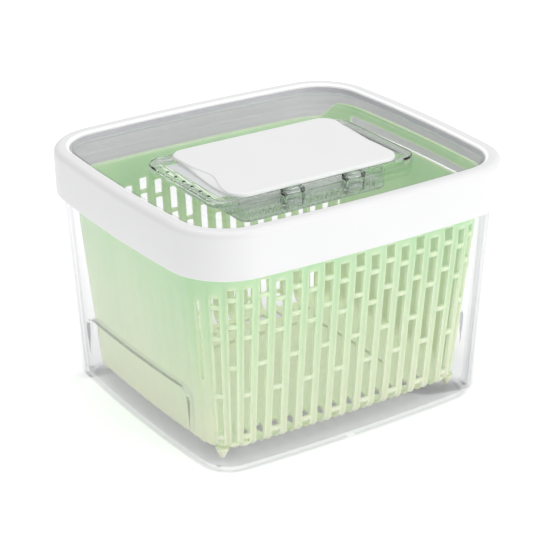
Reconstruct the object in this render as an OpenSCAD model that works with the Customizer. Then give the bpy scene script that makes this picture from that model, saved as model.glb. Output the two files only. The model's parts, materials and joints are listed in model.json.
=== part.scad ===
// Produce keeper: a clear bin, a slotted lift-out basket, and a lid with a sliding vent
// over a hinged cage that holds a carbon pouch.
// +X runs along the long side, -Y is the side with the cage's hinge, Z = 0 is the table.

/* [Lid ring] */
// Length of the ring along X
lid_w = 240; // [210:1:290]
// Depth of the ring along Y
lid_d = 210; // [180:1:255]
// Height from the table to the top of the ring
total_h = 162.5; // [135:0.5:200]
// Height of the ring's skirt
ring_h = 30; // [24:0.5:40]
// Corner radius of the ring's outer face
ring_r = 40; // [34:1:48]
// How far each side bows out at its middle
side_bow = 2.2; // [0:0.1:3]
// Thickness of the ring's skirt
ring_wall = 2.2; // [1.6:0.1:2.6]
// Thickness of the ring's top
ring_top = 2.5; // [2:0.1:3.5]
// Width of the ring's top, from its outer face to the window
ring_rim = 9.8; // [8.5:0.1:12]
// How far the skirt slopes in towards its lower edge
ring_draft = 0.5; // [0.2:0.1:0.8]
// Radius that rounds the ring's outer top edge
ring_round = 4; // [1:0.1:5]

/* [Bin] */
// Wall thickness of the bin
bin_wall = 2.5; // [1.8:0.1:3]
// Floor thickness of the bin
bin_floor = 3; // [2:0.1:4]
// How far the bin's rim lip stands out from the wall
rim_lip = 1.4; // [0.8:0.1:2]
// Height of the rim lip
rim_lip_h = 2.5; // [1.5:0.1:4]
// Gap between the rim lip and the inside of the ring's skirt
rim_gap = 0.4; // [0.3:0.05:0.8]
// Inward slope of the short walls, in mm per mm of height
bin_slope_x = 0.076; // [0.04:0.002:0.1]
// Inward slope of the long walls, in mm per mm of height
bin_slope_y = 0.055; // [0.03:0.002:0.08]
// Corner radius of the bin at its base
bin_base_r = 22; // [16:1:30]
// Radius of the bin's bottom edge
bin_edge = 3.4; // [1.5:0.1:5]
// Distance from the bin's top edge down to the step inside the wall
step_drop = 9.5; // [6:0.5:14]
// Depth of the step inside the wall
step_in = 0.8; // [0.3:0.1:1]
// Width of the finger recess in each short wall
grip_w = 124; // [80:1:130]
// Height of the recess's upper edge above the table
grip_top = 50.5; // [35:0.5:65]
// Height at which the recess runs out
grip_foot = 12; // [8:0.5:20]
// Depth of the recess at its upper edge
grip_depth = 3; // [1:0.1:3.2]
// Corner radius of the recess
grip_r = 9; // [3:0.5:14]
// Diameter of the small marks on the bin's floor
nub_d = 3; // [2:0.5:5]
// Height of the small marks on the bin's floor
nub_h = 0.8; // [0.4:0.1:1.5]

/* [Basket] */
// Gap between the basket's end wall and the bin's wall, at the basket's top
basket_gap_x = 3.3; // [3:0.1:8]
// Gap between the basket's long wall and the bin's wall, at the basket's top
basket_gap_y = 4.4; // [4:0.1:9]
// Gap between the basket's end wall and the bin's wall, at the basket's floor
basket_foot_gap_x = 6.1; // [4:0.1:9]
// Gap between the basket's long wall and the bin's wall, at the basket's floor
basket_foot_gap_y = 9.9; // [5:0.1:12]
// Wall thickness of the basket
basket_wall = 2; // [1.4:0.1:2.6]
// Height of the basket's feet
foot_h = 6; // [4:0.5:10]
// Radius of each foot at its upper end
foot_r = 4; // [3:0.1:6]
// How far each foot lies in from the corner, as a share of the corner radius
foot_share = 0.42; // [0.35:0.01:0.6]
// How far each side of the basket bows out at its middle
basket_bow = 1.5; // [0:0.1:3]
// Radius of the basket's lower edge
basket_edge = 7; // [4:0.5:9]
// Corner radius of the basket at its top
basket_r = 34; // [26:1:38]
// Corner radius of the basket at its floor
basket_floor_r = 24; // [18:1:28]
// Gap between the raised end walls and the lid's window
end_gap = 1.3; // [0.8:0.1:4]
// How far the long rims lie below the tops of the end walls
rim_dip = 10.5; // [6:0.5:16]
// Distance from the basket's end in to where its rim starts to rise
rise_start = 17; // [14:0.5:24]
// Length over which the rim rises
rise_run = 11; // [6:0.5:13]
// Length of each handle opening
handle_w = 130; // [90:1:136]
// Height of each handle opening
handle_h = 6.6; // [5:0.1:9]
// Height of the handle bar above its opening
handle_bar = 6.5; // [5:0.1:9]

/* [Basket slots] */
// Distance between slot columns
slot_pitch = 10.7; // [9:0.1:14]
// Width of each slot
slot_w = 5.2; // [3:0.1:6]
// Height of the bars that cross the slots
bridge_h = 3; // [2:0.1:4]
// Height of the slots' lower ends above the basket's floor
slot_rise = 3; // [2:0.5:8]
// Height of the plain band above the slots
band_h = 14; // [10:0.5:24]
// Heights of the bars in the middle column and every second one from it, as shares of the slotted height
even_bars = [0.49, 0.74, 0.9]; // [0:0.01:1]
// Height at which those columns end
even_end = 0.98; // [0.9:0.01:1]
// Heights of the bars in the columns between them
odd_bars = [0.32, 0.67, 0.85]; // [0:0.01:1]
// Height at which the columns between them end
odd_end = 0.95; // [0.9:0.01:1]
// How far the slots run in across the floor from its rounded edge
slot_wrap = 16; // [6:1:30]

/* [Window and seal] */
// Thickness of the window's flat panel
panel_t = 2.2; // [1.6:0.1:3]
// Thickness of the window's upright edge
window_wall = 2; // [1.4:0.1:2.4]
// Depth of the window's panel below the ring's top
panel_drop = 8.5; // [7:0.1:12]
// Distance from the ring's top down to the window's upright edge
window_drop = 1.2; // [0.4:0.1:2]
// Ledge that the filter housing stands on, inside its wall
opening_ledge = 4; // [2:0.5:6]
// Height of the seal's upper part
seal_h = 3.6; // [2.5:0.1:4.5]
// Distance from the ring's skirt in to the seal's upper part
seal_clear = 1.5; // [0.5:0.1:2]
// Width of the seal's lip
seal_lip = 1.5; // [1:0.1:1.6]
// Height of the seal's lip below its upper part
seal_reach = 3.4; // [2:0.1:5]

/* [Vent] */
// Length of the filter housing along X
housing_w = 150; // [130:1:160]
// Depth of the filter housing along Y
housing_d = 88; // [76:1:100]
// Height of the filter housing above the panel
housing_h = 4; // [3.6:0.1:6]
// Wall thickness of the filter housing
housing_wall = 1.6; // [1.2:0.1:2]
// Corner radius of the filter housing
housing_r = 12; // [6:1:18]
// How far the vent lies forward of the lid's middle
vent_forward = 6; // [0:0.5:12]
// Length of the sliding plate
plate_w = 128; // [100:1:130]
// Depth of the sliding plate
plate_d = 87; // [64:1:88]
// Thickness of the sliding plate
plate_t = 2.2; // [1.6:0.1:3]
// Corner radius of the sliding plate
plate_r = 12; // [4:0.5:16]
// Height of the wave in the plate's ends
plate_wave = 2; // [0:0.5:6]
// How far the open plate lies to the right of the housing's middle
plate_shift = 2; // [0:0.5:5]
// Travel of the sliding plate
plate_travel = 8; // [5:0.5:10]
// Running gap between the plate and the housing
plate_gap = 0.15; // [0.1:0.05:0.4]
// Diameter of each vent hole
vent_hole = 2.2; // [1.5:0.1:3]
// Number of vent holes
vent_count = 7; // [3:1:9]
// Distance between vent holes
vent_pitch = 9.5; // [5:0.5:10]
// Distance from the housing's end to the vent holes
vent_inset = 4; // [3:0.1:6]
// Thickness of the shutter under the housing's top
shutter_t = 1; // [0.6:0.1:1.4]
// Width of each tab that joins the plate to the shutter
tab_w = 6; // [4:0.5:10]
// Depth of each tab
tab_d = 5; // [3:0.5:8]

/* [Filter cage] */
// Length of the cage along X
cage_w = 108; // [80:1:112]
// Depth of the cage along Y
cage_d = 76; // [56:1:78]
// Height of the cage
cage_h = 11.7; // [9:0.1:16]
// Wall thickness of the cage
cage_wall = 1.6; // [1.2:0.1:2]
// Corner radius of the cage
cage_r = 7; // [4:0.5:12]
// Distance from the vent's front edge back to the cage
cage_setback = 2; // [2:0.5:4]
// Gap between the closed cage and the window's panel
cage_gap = 0.6; // [0.4:0.1:1]
// Distance between the cage's slots
cage_pitch = 6; // [4:0.5:10]
// Width of each slot in the cage
cage_slot = 2.4; // [1.5:0.1:4]
// Width of the plain margin round the slots
cage_margin = 7; // [5:0.5:12]
// Width of the bars between the rows of slots
cage_bar = 3; // [2:0.5:5]
// Number of rows of slots in the cage
cage_rows = 3; // [1:1:5]
// Length of the catch on the cage's back edge
catch_w = 20; // [10:1:40]
// How far the catch stands out from the cage
catch_out = 4; // [2:0.5:6]
// Diameter of the hinge pins
pin_d = 3; // [2:0.1:3.4]
// Radial clearance of the hinge knuckles on their pins
pin_gap = 0.1; // [0.05:0.01:0.15]
// Distance between the middles of the two hinges
hinge_span = 45; // [30:1:70]
// Width of each hinge knuckle
knuckle_w = 10; // [6:0.5:14]
// Thickness of each hinge cheek
cheek_t = 2; // [1.4:0.1:3]
// Wall of each hinge knuckle round its bore
knuckle_wall = 1.4; // [1:0.1:2]
// Thickness of the pouch
pouch_h = 8; // [5:0.5:8.5]
// Thickness of the pouch's skin
pouch_skin = 0.6; // [0.4:0.1:1]
// Gap between the pouch's edge and the cage's wall
pouch_gap = 3; // [1:0.5:5]
// Width over which the pouch thins to its edge
pouch_taper = 5.5; // [3:0.5:10]

/* [Hidden] */
eps = 0.01;
play = 0.3;
arc_steps = 7;
bow_steps = 8;
$fn = 48;

// Levels
ring_z = total_h - ring_h;
flange_z = total_h - ring_top;
panel_z = total_h - panel_drop;
panel_under = panel_z - panel_t;
seal_z = flange_z - seal_h;
bin_top = seal_z - seal_reach;
step_z = bin_top - step_drop;
basket_top = panel_under - end_gap;
rim_z = basket_top - rim_dip;
floor_z = bin_floor + foot_h;
slot_top = rim_z - band_h;
slot_z = floor_z + slot_rise;
slot_run = slot_top - slot_z;

// The bin's outer outline at its top edge follows from the ring, and slopes in from there
bin_inset = ring_wall + rim_gap + rim_lip;
bin_w = lid_w - 2 * bin_inset;
bin_d = lid_d - 2 * bin_inset;
bin_r = ring_r - bin_inset;

// Distance from the ring's outer face to the window's upright edge
window_r = ring_r - ring_rim;

// The plate's ends are waves that turn over this distance either side of its middle
wave_half = plate_d * 0.3;

// Tabs of the sliding plate, and the shutter that they carry over the vent holes
tab_y = wave_half;
shutter_rest = housing_w / 2 - housing_wall - play - plate_travel;
shutter_half = max((vent_count - 1) / 2 * vent_pitch + vent_hole, tab_y + tab_d / 2 + 1);

// Filter cage, hinged at its front edge
vent_y = -vent_forward;
cage_top = panel_under - cage_gap;
cage_z = cage_top - cage_h;
cage_y = vent_y - cage_setback;
cage_front = cage_y - cage_d / 2;
knuckle_r = pin_d / 2 + pin_gap + knuckle_wall;
hinge_y = vent_y - housing_d / 2 - knuckle_r + 1;
hinge_z = panel_under - knuckle_r - play;

function arc_pts(cx, cy, r, a0) =
    [for (i = [0 : arc_steps - 1]) let (a = a0 + 90 * i / arc_steps) [cx + r * cos(a), cy + r * sin(a)]];

// A side from p to q that bows out along the unit normal n
function side_pts(p, q, n, bow) =
    [for (i = [0 : bow_steps - 1])
        let (t = i / bow_steps, lift = bow * (1 - pow(2 * t - 1, 2)))
        p + (q - p) * t + n * lift];

// Rounded rectangle w by d whose four sides bow out to those sizes
function outline(w, d, r, bow = side_bow) =
    let (cx = w / 2 - bow - r, cy = d / 2 - bow - r)
    concat(
        arc_pts(cx, cy, r, 0), side_pts([cx, cy + r], [-cx, cy + r], [0, 1], bow),
        arc_pts(-cx, cy, r, 90), side_pts([-cx - r, cy], [-cx - r, -cy], [-1, 0], bow),
        arc_pts(-cx, -cy, r, 180), side_pts([-cx, -cy - r], [cx, -cy - r], [0, -1], bow),
        arc_pts(cx, -cy, r, 270), side_pts([cx + r, -cy], [cx + r, cy], [1, 0], bow));

// The ring's outline, moved in by t all round
module ring_outline(t) {
    polygon(outline(lid_w - 2 * t, lid_d - 2 * t, ring_r - t));
}

// A thin slice of the bin's outline at height z, moved in by t
module bin_slice(z, t) {
    drop = bin_top - z;
    r = bin_base_r + (bin_r - bin_base_r) * z / bin_top;
    w = bin_w - 2 * (t + bin_slope_x * drop);
    d = bin_d - 2 * (t + bin_slope_y * drop);
    translate([0, 0, z])
        linear_extrude(eps)
            polygon(outline(w, d, r - t));
}

// The inner half sizes of the bin at height z
function bin_in_x(z) = bin_w / 2 - bin_wall - bin_slope_x * (bin_top - z);
function bin_in_y(z) = bin_d / 2 - bin_wall - bin_slope_y * (bin_top - z);

// How far up the basket height z lies, from 0 at its floor to 1 at its top
function basket_share(z) = (z - floor_z) / (basket_top - floor_z);
function basket_half_x(z) = let (s = basket_share(z))
    s * (bin_in_x(basket_top) - basket_gap_x) + (1 - s) * (bin_in_x(floor_z) - basket_foot_gap_x);
function basket_half_y(z) = let (s = basket_share(z))
    s * (bin_in_y(basket_top) - basket_gap_y) + (1 - s) * (bin_in_y(floor_z) - basket_foot_gap_y);
function basket_corner(z) = basket_floor_r + (basket_r - basket_floor_r) * basket_share(z);

// Feet near the basket's corners, and slot columns either side of its middle one
foot_x = basket_half_x(floor_z) - basket_floor_r * foot_share;
foot_y = basket_half_y(floor_z) - basket_floor_r * foot_share;
slot_half = floor((basket_half_x(floor_z) - basket_floor_r - basket_bow) / slot_pitch);

// A thin slice of the basket's outline at height z, moved in by t
module basket_slice(z, t) {
    w = 2 * (basket_half_x(z) - t);
    d = 2 * (basket_half_y(z) - t);
    translate([0, 0, z])
        linear_extrude(eps)
            polygon(outline(w, d, basket_corner(z) - t, basket_bow));
}

module at_hinges() {
    for (s = [-1, 1])
        translate([s * hinge_span / 2, 0, 0])
            children();
}

module rounded_rect(w, d, r) {
    polygon(outline(w, d, r, 0));
}

// The recess in the short walls: everything inside its edges and outside the sloped core
module grip_window(depth_from) {
    intersection() {
        union() {
            for (s = [-1, 1])
                translate([s * lid_w / 2, 0, (grip_top + grip_foot) / 2])
                    rotate([0, 90, 0])
                        linear_extrude(lid_w / 2, center = true)
                            rounded_rect(grip_top - grip_foot, grip_w, grip_r);
        }
        difference() {
            translate([-lid_w, -lid_d, 0])
                cube([2 * lid_w, 2 * lid_d, total_h]);
            hull() {
                bin_slice(grip_foot - eps, depth_from);
                bin_slice(grip_top, depth_from + grip_depth);
            }
        }
    }
}

module container() {
    color([0.9, 0.92, 0.93, 0.35])
        difference() {
            union() {
                difference() {
                    hull() {
                        bin_slice(0, bin_edge);
                        bin_slice(bin_edge * 0.3, bin_edge * 0.3);
                        bin_slice(bin_edge, 0);
                        bin_slice(bin_top - eps, 0);
                    }
                    grip_window(0);
                }
                translate([0, 0, bin_top - rim_lip_h])
                    linear_extrude(rim_lip_h)
                        ring_outline(ring_wall + rim_gap);
            }
            difference() {
                hull() {
                    bin_slice(bin_floor, bin_wall + bin_edge);
                    bin_slice(bin_floor + bin_edge, bin_wall);
                    bin_slice(bin_top + eps, bin_wall);
                }
                grip_window(bin_wall);
            }
            translate([0, 0, step_z])
                linear_extrude(bin_top)
                    ring_outline(bin_inset + bin_wall - step_in + bin_slope_x * step_drop * 0.5);
        }
    floor_nubs();
}

// Four small marks that locate the basket's feet on the bin's floor
module floor_nubs() {
    color([0.9, 0.92, 0.93, 0.35])
        for (x = [-1, 1], y = [-1, 1])
            translate([x * (foot_x + 2 * foot_r), y * (foot_y + 2 * foot_r), bin_floor - nub_h / 2])
                cylinder(d = nub_d, h = 1.5 * nub_h);
}

// Slots of one column as [lower, upper] heights above slot_z, between bars at the given shares of slot_run
function column_cells(bars, end) =
    let (stops = concat([-bridge_h / 2], [for (b = bars) b * slot_run], [end * slot_run + bridge_h / 2]))
    [for (k = [0 : len(stops) - 2]) [stops[k] + bridge_h / 2, stops[k + 1] - bridge_h / 2]];

// Columns of slots in both long walls, which carry on across the floor's edges
module basket_slots() {
    edge_y = basket_half_y(floor_z) - basket_edge;
    for (i = [-slot_half : slot_half])
        translate([i * slot_pitch - slot_w / 2, 0, 0]) {
            for (c = i % 2 == 0 ? column_cells(even_bars, even_end) : column_cells(odd_bars, odd_end))
                translate([0, -lid_d / 2, slot_z + c[0]])
                    cube([slot_w, lid_d, c[1] - c[0]]);
            for (s = [-1, 1])
                translate([0, s * (edge_y - slot_wrap / 2) - slot_wrap / 2, floor_z - 1])
                    cube([slot_w, slot_wrap, basket_wall + 2]);
        }
}

// The long rims dip between the raised end walls, with a smooth rise near each end
module rim_cut() {
    x_low = basket_half_x(basket_top) - rise_start;
    x_high = x_low + rise_run;
    steps = 8;
    up = [for (i = [0 : steps])
        let (t = i / steps)
        [x_low + rise_run * t, rim_z + rim_dip * (1 - cos(180 * t)) / 2]];
    down = [for (i = [steps : -1 : 0]) [-up[i][0], up[i][1]]];
    translate([0, lid_d / 2, 0])
        rotate([90, 0, 0])
            linear_extrude(lid_d)
                polygon(concat(up, [[x_high, total_h], [-x_high, total_h]], down));
}

module handle_cut() {
    z = basket_top - handle_bar - handle_h / 2;
    translate([-lid_w / 2, 0, z])
        rotate([0, 90, 0])
            linear_extrude(lid_w)
                union() {
                    square([handle_h, handle_w - handle_h], center = true);
                    for (s = [-1, 1])
                        translate([0, s * (handle_w - handle_h) / 2])
                            circle(d = handle_h);
                }
}

module basket() {
    color([0.72, 0.84, 0.66])
        union() {
            difference() {
                hull() {
                    basket_slice(floor_z, basket_edge);
                    basket_slice(floor_z + basket_edge * 0.3, basket_edge * 0.3);
                    basket_slice(floor_z + basket_edge, 0);
                    basket_slice(basket_top - eps, 0);
                }
                hull() {
                    basket_slice(floor_z + basket_wall, basket_wall + basket_edge);
                    basket_slice(floor_z + basket_wall + basket_edge, basket_wall);
                    basket_slice(basket_top + eps, basket_wall);
                }
                rim_cut();
                handle_cut();
                basket_slots();
            }
            for (x = [-1, 1], y = [-1, 1])
                translate([x * foot_x, y * foot_y, bin_floor])
                    cylinder(r1 = foot_r * 0.45, r2 = foot_r, h = foot_h + 1);
        }
}

module lid_frame() {
    color([0.96, 0.96, 0.96])
        difference() {
            hull() {
                translate([0, 0, ring_z])
                    linear_extrude(eps)
                        ring_outline(ring_draft + 0.5);
                translate([0, 0, ring_z + 0.8])
                    linear_extrude(eps)
                        ring_outline(ring_draft);
                for (a = [0 : 22.5 : 90])
                    translate([0, 0, total_h - ring_round * (1 - sin(a)) - eps])
                        linear_extrude(eps)
                            ring_outline(ring_round * (1 - cos(a)));
            }
            translate([0, 0, ring_z - 1])
                linear_extrude(flange_z - ring_z + 1)
                    ring_outline(ring_wall);
            translate([0, 0, ring_z])
                linear_extrude(ring_h + 1)
                    ring_outline(ring_rim);
        }
}

module lid_window() {
    ledge = housing_wall + opening_ledge;
    color([0.9, 0.92, 0.93, 0.35])
        difference() {
            union() {
                translate([0, 0, panel_under])
                    linear_extrude(panel_t)
                        ring_outline(ring_rim);
                translate([0, 0, panel_under])
                    linear_extrude(total_h - window_drop - panel_under)
                        difference() {
                            ring_outline(ring_rim);
                            ring_outline(ring_rim + window_wall);
                        }
            }
            translate([0, vent_y, panel_under - 1])
                linear_extrude(panel_t + 2)
                    rounded_rect(housing_w - 2 * ledge, housing_d - 2 * ledge, housing_r - opening_ledge);
            at_hinges()
                translate([-knuckle_w / 2 - cheek_t - 2 * play, hinge_y - knuckle_r, panel_under - 1])
                    cube([knuckle_w + 2 * cheek_t + 4 * play, 2 * knuckle_r, panel_t + 2]);
        }
}

module lid_seal() {
    color([0.77, 0.77, 0.79])
        union() {
            translate([0, 0, seal_z])
                linear_extrude(seal_h)
                    difference() {
                        ring_outline(ring_wall + seal_clear);
                        ring_outline(ring_rim);
                    }
            translate([0, 0, bin_top])
                linear_extrude(seal_z - bin_top)
                    difference() {
                        ring_outline(bin_inset + 0.1);
                        ring_outline(bin_inset + 0.1 + seal_lip);
                    }
        }
}

module filter_housing() {
    top = panel_z + housing_h;
    inner_w = housing_w - 2 * housing_wall;
    inner_d = housing_d - 2 * housing_wall;
    color([0.88, 0.9, 0.9, 0.45]) {
        difference() {
            translate([0, vent_y, panel_z])
                linear_extrude(housing_h)
                    rounded_rect(housing_w, housing_d, housing_r);
            translate([0, vent_y, panel_z - 1])
                linear_extrude(housing_h + 1 - housing_wall)
                    rounded_rect(inner_w, inner_d, housing_r - housing_wall);
            vent_holes(top);
            for (s = [-1, 1])
                translate([-tab_w / 2 - plate_travel - play, vent_y + s * tab_y - tab_d / 2 - play, panel_z])
                    cube([tab_w + plate_travel + 2 * play, tab_d + 2 * play, housing_h + 1]);
        }
        hinge_lugs(top);
    }
}

module vent_holes(top) {
    first = vent_y - (vent_count - 1) / 2 * vent_pitch;
    for (i = [0 : vent_count - 1])
        translate([-housing_w / 2 + vent_inset, first + i * vent_pitch, top - housing_wall - 1])
            cylinder(d = vent_hole, h = housing_wall + 2, $fn = 24);
}

// Cheeks that reach down through the panel and carry the hinge pins
module hinge_lugs(top) {
    bridge_w = knuckle_w + 2 * play + 2 * cheek_t;
    bridge_d = vent_y - housing_d / 2 - hinge_y + 3.5;
    at_hinges() {
        for (s = [-1, 1])
            translate([s * (knuckle_w + 2 * play + cheek_t) / 2 - cheek_t / 2, hinge_y - 2, hinge_z - 2])
                cube([cheek_t, 4, top - hinge_z + 2 - housing_wall]);
        translate([-knuckle_w / 2 - play - cheek_t, hinge_y - 2, top - 2 * housing_wall])
            cube([bridge_w, bridge_d, 2 * housing_wall]);
        translate([-knuckle_w / 2 - play - cheek_t / 2, hinge_y, hinge_z])
            rotate([0, 90, 0])
                cylinder(d = pin_d, h = knuckle_w + 2 * play + cheek_t);
    }
}

// How far the plate's end is shifted along X at a depth y from the plate's middle
function wave(y) = plate_wave * sin(90 * max(-1, min(1, y / wave_half)));

module plate_shape() {
    steps = 14;
    x = plate_w / 2 - plate_wave;
    y = plate_d / 2;
    right = [for (i = [0 : steps]) let (v = -y + plate_r + 2 * (y - plate_r) * i / steps) [x + wave(v), v]];
    left = [for (i = [steps : -1 : 0]) [-x + wave(right[i][1]), right[i][1]]];
    function bend(cx, cy, a0) =
        [for (i = [1 : 5])
            let (a = a0 + 15 * i)
            [cx + plate_r * cos(a), cy + plate_r * sin(a)]];
    polygon(concat(
        bend(x + wave(plate_r - y) - plate_r, plate_r - y, -90), right,
        bend(x + wave(y - plate_r) - plate_r, y - plate_r, 0),
        bend(-x + wave(y - plate_r) + plate_r, y - plate_r, 90), left,
        bend(-x + wave(plate_r - y) + plate_r, plate_r - y, 180)));
}

module vent_slider() {
    base = panel_z + housing_h + plate_gap;
    shutter_top = base - housing_wall - 2 * plate_gap;
    color([0.97, 0.97, 0.97])
        union() {
            translate([plate_shift, vent_y, base])
                linear_extrude(plate_t)
                    plate_shape();
            for (s = [-1, 1])
                translate([-tab_w / 2, vent_y + s * tab_y - tab_d / 2, shutter_top])
                    cube([tab_w, tab_d, base - shutter_top + eps]);
            translate([-shutter_rest, vent_y - shutter_half, shutter_top - shutter_t])
                cube([shutter_rest + tab_w / 2, 2 * shutter_half, shutter_t + eps]);
        }
}

module filter_door() {
    color([0.82, 0.88, 0.84, 0.5])
        difference() {
            union() {
                translate([0, cage_y, cage_z])
                    linear_extrude(cage_h)
                        rounded_rect(cage_w, cage_d, cage_r);
                at_hinges()
                    translate([-knuckle_w / 2, 0, 0]) {
                        translate([0, hinge_y, hinge_z])
                            rotate([0, 90, 0])
                                cylinder(r = knuckle_r, h = knuckle_w);
                        translate([0, hinge_y, hinge_z - 1.5])
                            cube([knuckle_w, cage_front - hinge_y + cage_wall, 3]);
                    }
                translate([-catch_w / 2, cage_y + cage_d / 2 - 1, cage_top - cage_wall])
                    cube([catch_w, catch_out + 1, cage_wall]);
            }
            translate([0, cage_y, cage_z + cage_wall])
                linear_extrude(cage_h)
                    rounded_rect(cage_w - 2 * cage_wall, cage_d - 2 * cage_wall, cage_r - cage_wall);
            at_hinges()
                translate([-knuckle_w / 2 - 1, hinge_y, hinge_z])
                    rotate([0, 90, 0])
                        cylinder(r = pin_d / 2 + pin_gap, h = knuckle_w + 2);
            cage_slots();
        }
}

module cage_slots() {
    half = floor((cage_w / 2 - cage_margin) / cage_pitch);
    cell = (cage_d - 2 * cage_margin - (cage_rows - 1) * cage_bar) / cage_rows;
    first = cage_front + cage_margin;
    for (i = [-half : half], k = [0 : cage_rows - 1])
        translate([i * cage_pitch - cage_slot / 2, first + k * (cell + cage_bar), cage_z - 1])
            cube([cage_slot, cell, cage_wall + 2]);
}

// A pillow that tapers to its seams, moved in by t
module pouch_form(t) {
    w = cage_w - 2 * (cage_wall + pouch_gap + t);
    d = cage_d - 2 * (cage_wall + pouch_gap + t);
    z = cage_z + cage_wall + 0.1;
    hull() {
        translate([0, cage_y, z + t])
            linear_extrude(pouch_h - 2 * t)
                rounded_rect(w - 2 * pouch_taper, d - 2 * pouch_taper, cage_r);
        translate([0, cage_y, z + pouch_h * 0.25 + t])
            linear_extrude(pouch_h * 0.5 - 2 * t)
                rounded_rect(w, d, cage_r - 2);
    }
}

module filter_pouch() {
    color([0.93, 0.94, 0.92])
        difference() {
            pouch_form(0);
            pouch_form(pouch_skin);
        }
}

module carbon_fill() {
    color([0.12, 0.12, 0.13])
        pouch_form(pouch_skin);
}

container();
basket();
lid_frame();
lid_window();
lid_seal();
filter_housing();
vent_slider();
filter_door();
filter_pouch();
carbon_fill();
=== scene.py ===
import json
import math
import random

import bmesh
import bpy
from mathutils import Matrix, Vector


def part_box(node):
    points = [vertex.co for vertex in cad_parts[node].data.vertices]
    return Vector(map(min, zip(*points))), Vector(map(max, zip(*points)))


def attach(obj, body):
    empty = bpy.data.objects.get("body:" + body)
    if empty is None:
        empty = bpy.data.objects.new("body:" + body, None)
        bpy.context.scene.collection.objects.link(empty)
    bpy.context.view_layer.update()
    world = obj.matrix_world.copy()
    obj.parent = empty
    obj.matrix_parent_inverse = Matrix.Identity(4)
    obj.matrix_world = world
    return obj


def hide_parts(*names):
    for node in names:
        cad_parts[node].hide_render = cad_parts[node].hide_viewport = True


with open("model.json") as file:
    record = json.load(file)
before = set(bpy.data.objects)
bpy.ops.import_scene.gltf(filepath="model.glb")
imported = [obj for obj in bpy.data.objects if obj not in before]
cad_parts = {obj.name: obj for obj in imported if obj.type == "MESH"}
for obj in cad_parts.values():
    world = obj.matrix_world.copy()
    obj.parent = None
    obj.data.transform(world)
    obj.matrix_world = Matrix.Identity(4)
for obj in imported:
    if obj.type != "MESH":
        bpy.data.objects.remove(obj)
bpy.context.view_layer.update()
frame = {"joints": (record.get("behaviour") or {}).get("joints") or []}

MM = 0.001
scene = bpy.context.scene

# ------------------------ sizes, in millimetres


def cad(node):
    """Lowest and highest corner of a CAD node, in millimetres."""
    low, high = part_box(node)
    return [v / MM for v in low], [v / MM for v in high]


def span(node, axis):
    low, high = cad(node)
    return high[axis] - low[axis]


RING_LOW, RING_HIGH = cad("lid_frame")
LID_W = RING_HIGH[0] - RING_LOW[0]
LID_D = RING_HIGH[1] - RING_LOW[1]
LID_R = 40
LID_BOW = 2.2
RING_Z = RING_LOW[2]
TOP = RING_HIGH[2]
RING_WALL = 2.2
RING_TOP = 2.5
RING_RIM = 9.8
RING_DRAFT = 0.5
RING_ROUND = 4.0

BIN_TOP = cad("container")[1][2]
RIM_LIP = 1.4
RIM_LIP_H = 2.5
BIN_INSET = 4.0
BIN_WALL = 2.5
BIN_FLOOR = 3.0
BIN_SLOPE = (0.076, 0.055)
BIN_BASE_R = 22.0
BIN_EDGE = 3.4
STEP_Z = BIN_TOP - 9.5
STEP_IN = 0.8
GRIP_TOP = 50.5
GRIP_FOOT = 12.0
GRIP_HALF = 62.0
GRIP_DEPTH = 3.0
GRIP_CORNER = 9.0
SHOULDER = (-0.6, -0.3, 0, 0.3, 0.6)
STOPS_REACH = 80

BASKET_TOP = cad("basket")[1][2]
BASKET_FLOOR = 9.0
BASKET_LOW_HALF = (96.5, 80.7)
BASKET_TOP_HALF = (span("basket", 0) / 2, span("basket", 1) / 2)
BASKET_R = (24.0, 34.0)
BASKET_BOW = 1.5
BASKET_WALL = 2.0
BASKET_EDGE = 7.0
RIM_DIP = 10.5
HANDLE_HALF = 65.0
HANDLE_LOW = BASKET_TOP - 13.1
HANDLE_HIGH = BASKET_TOP - 6.5

PANEL_UNDER = cad("lid_window")[0][2]
PANEL_T = 2.2
PANEL_Z = PANEL_UNDER + PANEL_T
WINDOW_WALL = 2.0
WINDOW_TOP = cad("lid_window")[1][2]
SEAL_Z = cad("lid_seal")[1][2] - 3.6

HOUSING_LOW, HOUSING_HIGH = cad("filter_housing")
HOUSING_W = HOUSING_HIGH[0] - HOUSING_LOW[0]
HOUSING_D = 88.0
VENT_Y = HOUSING_HIGH[1] - HOUSING_D / 2
HOUSING_Z = HOUSING_HIGH[2]
HOUSING_WALL = 1.6
HOUSING_R = 12.0
HOUSING_ROUND = 0.9
PLATE_LOW, PLATE_HIGH = cad("vent_slider")
PLATE_W = 128.0
PLATE_D = 87.0
PLATE_R = 12.0
PLATE_SHIFT = 2.0
PLATE_T = 2.2
PLATE_WAVE = 2.0
PLATE_Z = PLATE_HIGH[2] - PLATE_T
VENT_HOLE = 2.2
VENT_COUNT = 7
VENT_PITCH = 9.5
VENT_INSET = 4.0
PLATE_TRAVEL = 8.0
TAB_Y = PLATE_D * 0.3
SHUTTER_REST = HOUSING_W / 2 - HOUSING_WALL - 0.3 - PLATE_TRAVEL
SHUTTER_HALF = 30.7

CAGE_W = 108.0
CAGE_D = 76.0
CAGE_Z = cad("filter_door")[0][2]
CAGE_TOP = CAGE_Z + 11.7
CAGE_Y = -8.0
CAGE_WALL = 1.6
HINGE = next(j for j in frame["joints"] if j["name"] == "filter_door_hinge")["pos_m"]
HINGE_Y = HINGE[1] / MM
HINGE_Z = HINGE[2] / MM
HINGE_X = 22.5
KNUCKLE_R = 3.0
KNUCKLE_W = 10.0
CHEEK = 2.0
PLAY = 0.3

# ------------------------ outlines


def polar(cx, cy, r, degrees):
    a = math.radians(degrees)
    return (cx + r * math.cos(a), cy + r * math.sin(a))


def circle(cx, cy, r, sides):
    return [polar(cx, cy, r, 360 * i / sides) for i in range(sides)]


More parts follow.
